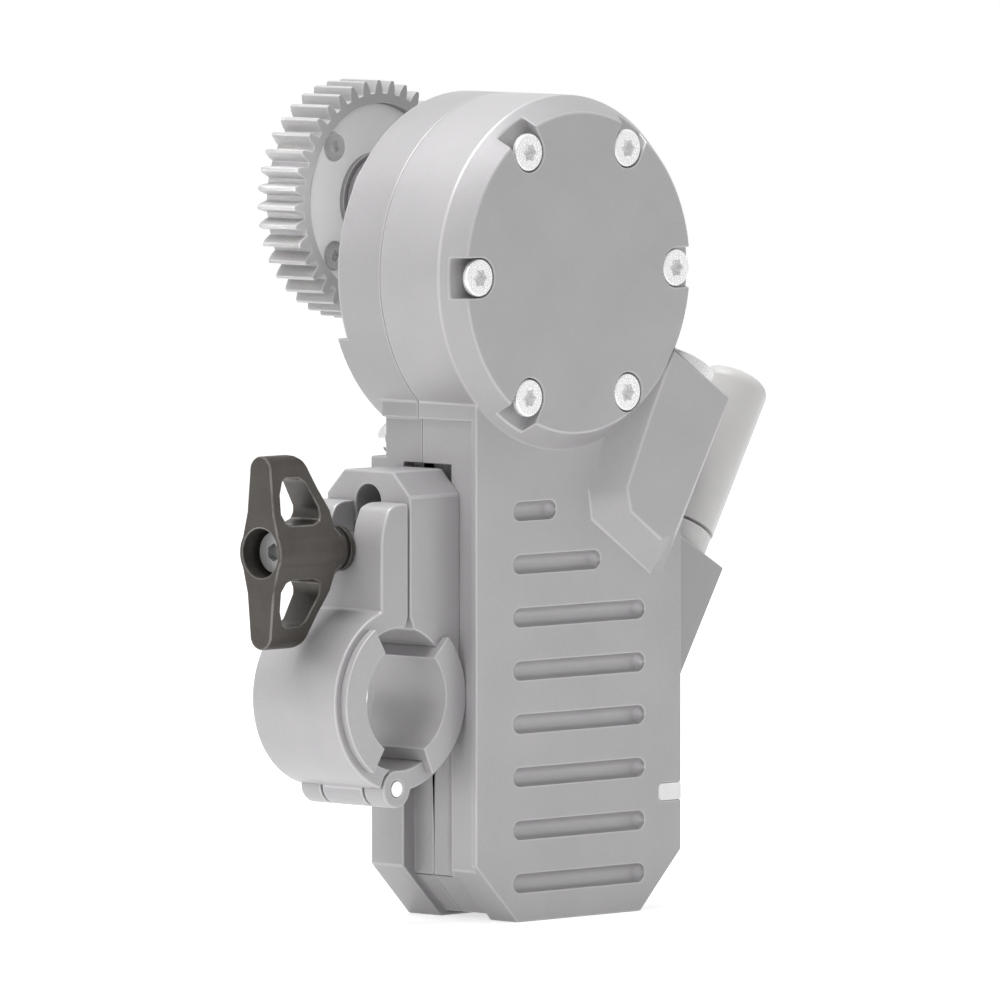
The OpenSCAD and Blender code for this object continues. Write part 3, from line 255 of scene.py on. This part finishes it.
FINISHES = {
    "housing_alloy": anodised("housing_anodised", 171),
    "clamp_alloy": anodised("clamp_anodised", 171, grain=0.24),
    "liner_alloy": anodised("liner_anodised", 176, grain=0.2),
    "seal_rubber": moulded("seal_rubber", 120, roughness=0.7),
    "screw_steel": machined("screw_steel", 254, roughness=0.26, metallic=0.45, depth=0.001, marked=0.2),
    "rear_screw_steel": machined("button_screw_steel", 226, roughness=0.24),
    # Dark neck, with a strong painted highlight on its rounded edges
    "neck_alloy": anodised("neck_black", 128, edge_highlight_level=180),
    "window_plastic": light_window("status_window"),
    "board_green": circuit_board("board_mask"),
    "chip_black": moulded("chip_epoxy", 70, roughness=0.6),
    "socket_metal": machined("socket_plate", 240, metallic=0.4, depth=0.001, marked=0.2),
    "insert_black": moulded("insert_plastic", 96, roughness=0.55),
    "collar_plastic": moulded("collar_plastic", 220, warm=1, roughness=0.45),
    "antenna_plastic": moulded("antenna_plastic", 212, warm=1, roughness=0.42, coat=0.15),
    "can_steel": machined("can_steel", 186, roughness=0.34),
    "rotor_copper": copper_windings("rotor_copper"),
    "gear_brass": gear_brass("gear_brass"),
    "plate_alloy": machined("plate_milled", 200, roughness=0.36, scratch=(0.1, 1, 1)),
    "gear_steel": machined("gear_steel", 196),
    "shaft_steel": machined("shaft_ground", 206, roughness=0.22, scratch=(1, 0.1, 1)),
    "race_steel": machined("race_steel", 212, roughness=0.16),
    # Dark hub, with a strong painted highlight on its rounded edges
    "hub_alloy": anodised("hub_black", 132, edge_highlight_level=190),
    "disc_alloy": machined("disc_satin", 250, roughness=0.42, metallic=0.1, marked=0.3),
    # Painted highlight on the gear's edges, stronger than on the other plastics
    "gear_plastic": moulded("gear_plastic", 178, roughness=0.46, edge_highlight_gain=26),
    "pin_steel": machined("pin_steel", 230, roughness=0.24),
    "bolt_steel": machined("bolt_steel", 206, roughness=0.28),
    "stop_steel": machined("stop_steel", 170, roughness=0.34, metallic=0.4),
    "washer_steel": worn_black("washer_black"),
    "knob_alloy": worn_black("knob_worn_black"),
}
# Pieces that share a slot but get a darker copy of its finish, as painted shade: the rear shell
PAINTED_SHADE_FINISHES = {"rear_shell": anodised("rear_housing_painted_shade", 161)}


# Pieces

# Points closer than this are one point, in millimetres
WELD = 0.002
# Faces that meet at less than this are one face, in degrees
FLAT = 0.6
# Edges that turn by more than this are rounded, in degrees
SHARP = 32
# Faces across a rounded edge
EDGE_STEPS = 2
# How strongly the large faces set the normals at their corners, where 50 is even
FLAT_WEIGHT = 100


def edged(node, width):
    """The node's shape with real rounded edges, width in millimetres, in the node's finish."""
    mesh = NODES[node].data.copy()
    mesh.name = node + "_edged"
    if "custom_normal" in mesh.attributes:
        mesh.attributes.remove(mesh.attributes["custom_normal"])
    shape = bmesh.new()
    shape.from_mesh(mesh)
    bmesh.ops.remove_doubles(shape, verts=shape.verts, dist=WELD*MM)
    bmesh.ops.dissolve_limit(shape, angle_limit=math.radians(FLAT), verts=shape.verts, edges=shape.edges)
    outer = shape.faces.layers.float.new("outer_edge")
    sharp = [edge for edge in shape.edges if edge.calc_face_angle(0) > math.radians(SHARP)]
    strips = bmesh.ops.bevel(shape, geom=sharp, offset=width*MM, offset_type="OFFSET", segments=EDGE_STEPS,
                             profile=0.5, affect="EDGES", clamp_overlap=False, loop_slide=False)
    for strip in strips["faces"]:
        strip[outer] = float(sum(edge.calc_face_angle_signed(0) for edge in strip.edges) > 0)
    shape.to_mesh(mesh)
    shape.free()
    mesh.materials.clear()
    # The rear shell takes a darker copy of the housing finish: painted shade
    mesh.materials.append(PAINTED_SHADE_FINISHES.get(node, FINISHES[SLOT_OF[node]]))
    piece = bpy.data.objects.new(node + "_edged", mesh)
    bpy.context.scene.collection.objects.link(piece)
    flat_faces = piece.modifiers.new("flat_faces", "WEIGHTED_NORMAL")
    flat_faces.weight = FLAT_WEIGHT
    flat_faces.keep_sharp = True
    for face in mesh.polygons:
        face.use_smooth = True
    mesh.set_sharp_from_angle(angle=math.radians(SHARP))
    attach(piece, BODY_OF[node])
    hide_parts(node)


# Width of the rounded edges of each node that the outside shows, in millimetres
EDGE_WIDTHS = {
    "front_shell": 0.22, "rear_shell": 0.25, "clamp_jaw": 0.3, "clamp_arm": 0.3, "wing_knob": 0.22,
    "drive_gear": 0.1, "hub_disc": 0.12, "gear_hub": 0.1, "output_neck": 0.12, "liner_jaw": 0.15,
    "liner_arm": 0.15, "antenna_collar": 0.2, "cover_screws": 0.1, "rear_screws": 0.1,
    "hub_screws": 0.08, "shaft_screw": 0.1, "thrust_washer": 0.08, "hinge_pin": 0.12,
    "socket_rings": 0.1, "status_window": 0.08,
}
for name, width in EDGE_WIDTHS.items():
    edged(name, width)
for name, part in NODES.items():
    if name not in EDGE_WIDTHS:
        part.data.materials.clear()
        part.data.materials.append(FINISHES[SLOT_OF[name]])


# Camera

PHOTO_PX = 1000
VIEW_REACH = 20


def photo_camera(turn, rise, roll, distance, focal_px, shift_x, shift_z, aim):
    """The photograph's view: angles in degrees, distances in millimetres."""
    turn, rise, roll = (math.radians(value) for value in (turn, rise, roll))
    back = Vector((math.sin(turn)*math.cos(rise), -math.cos(turn)*math.cos(rise), math.sin(rise)))
    right = Vector((math.cos(turn), math.sin(turn), 0))
    up = back.cross(right)
    right_rolled = math.cos(roll)*right + math.sin(roll)*up
    up_rolled = math.cos(roll)*up - math.sin(roll)*right
    target = Vector(aim) + right_rolled*shift_x + up_rolled*shift_z
    camera = bpy.data.objects.new("photo_camera", bpy.data.cameras.new("photo_camera"))
    bpy.context.scene.collection.objects.link(camera)
    camera.data.lens = focal_px/PHOTO_PX*camera.data.sensor_width
    camera.data.clip_end = VIEW_REACH
    turned = Matrix((right_rolled, up_rolled, back)).transposed().to_4x4()
    camera.matrix_world = Matrix.Translation((target + back*distance)*MM) @ turned
    bpy.context.scene.camera = camera


photo_camera(turn=-45.767, rise=3.792, roll=-0.011, distance=2102.7, focal_px=15579,
             shift_x=-10.725, shift_z=-30.668, aim=(-3.35, -13.6, 87.7))


# Floor and light, in metres and watts

SEEN_RAYS = ("Is Camera Ray", "Is Glossy Ray", "Is Transmission Ray")
FLOOR_SIZE = 6
FLOOR_GLOW = 0.6
AIR_LEVEL = 0.38
MIDDLE = (-0.003, 0.0, 0.056)
FOOT = (-0.016, 0.0, 0.006)
GEAR = (-0.022, 0.03, 0.098)


def pale_surface(name, level, glow):
    """A pale finish that glows where the camera or a reflection sees it, and keeps shadows."""
    finish = Finish(name, roughness=0.8, specular_ior_level=0.2, emission_strength=glow)
    paper = finish.noise(30)
    seen = sum((finish.add("ShaderNodeLightPath", out=ray) for ray in SEEN_RAYS), 0)
    finish.set(base_color=finish.mix(paper, grey(level - 1), grey(level)),
               emission_color=finish.mix(seen, (0, 0, 0), (1, 1, 1)))
    return finish.material


def studio_floor(size):
    bpy.ops.mesh.primitive_plane_add(size=size)
    floor = bpy.context.object
    floor.name = "studio_floor"
    floor.data.materials.append(pale_surface("studio_paper", 250, FLOOR_GLOW))


def studio_air(level):
    """White where the camera, a reflection or clear plastic sees it, and softer as a light."""
    world = bpy.data.worlds.new("studio_air")
    bpy.context.scene.world = world
    world.use_nodes = True
    nodes, links = world.node_tree.nodes, world.node_tree.links
    rays = nodes.new("ShaderNodeLightPath")
    glow = nodes.new("ShaderNodeMapRange")
    glow.inputs["To Min"].default_value = level
    glow.inputs["To Max"].default_value = 1.0
    seen = rays.outputs[SEEN_RAYS[0]]
    for ray in SEEN_RAYS[1:]:
        either = nodes.new("ShaderNodeMath")
        either.operation = "MAXIMUM"
        links.new(seen, either.inputs[0])
        links.new(rays.outputs[ray], either.inputs[1])
        seen = either.outputs[0]
    links.new(seen, glow.inputs["Value"])
    links.new(glow.outputs[0], nodes["Background"].inputs["Strength"])
    nodes["Background"].inputs["Color"].default_value = (1, 1, 1, 1)


def softbox(name, place, aim, size, power, spread=180):
    """A rectangular lamp at place, facing aim. A small spread in degrees makes a beam."""
    lamp = bpy.data.objects.new(name, bpy.data.lights.new(name, "AREA"))
    lamp.data.shape = "RECTANGLE"
    lamp.data.size, lamp.data.size_y = size
    lamp.data.energy = power
    lamp.data.spread = math.radians(spread)
    lamp.location = place
    lamp.rotation_euler = (Vector(aim) - Vector(place)).to_track_quat("-Z", "Y").to_euler()
    bpy.context.scene.collection.objects.link(lamp)


studio_floor(FLOOR_SIZE)
studio_air(AIR_LEVEL)
softbox("top_box", (-0.19, 0.08, 0.68), MIDDLE, size=(0.5, 0.5), power=4.8)
softbox("left_box", (-0.65, 0.05, 0.42), MIDDLE, size=(0.35, 0.6), power=0.35)
softbox("right_box", (0.55, -0.3, 0.3), MIDDLE, size=(0.3, 0.5), power=0.3)
softbox("low_fill", (-0.6, -0.14, 0.04), FOOT, size=(0.15, 0.15), power=0.008, spread=16)
softbox("gear_beam", (-0.26, -0.2, 0.16), GEAR, size=(0.015, 0.015), power=0.0013, spread=6)

bpy.context.scene.view_settings.view_transform = "Standard"
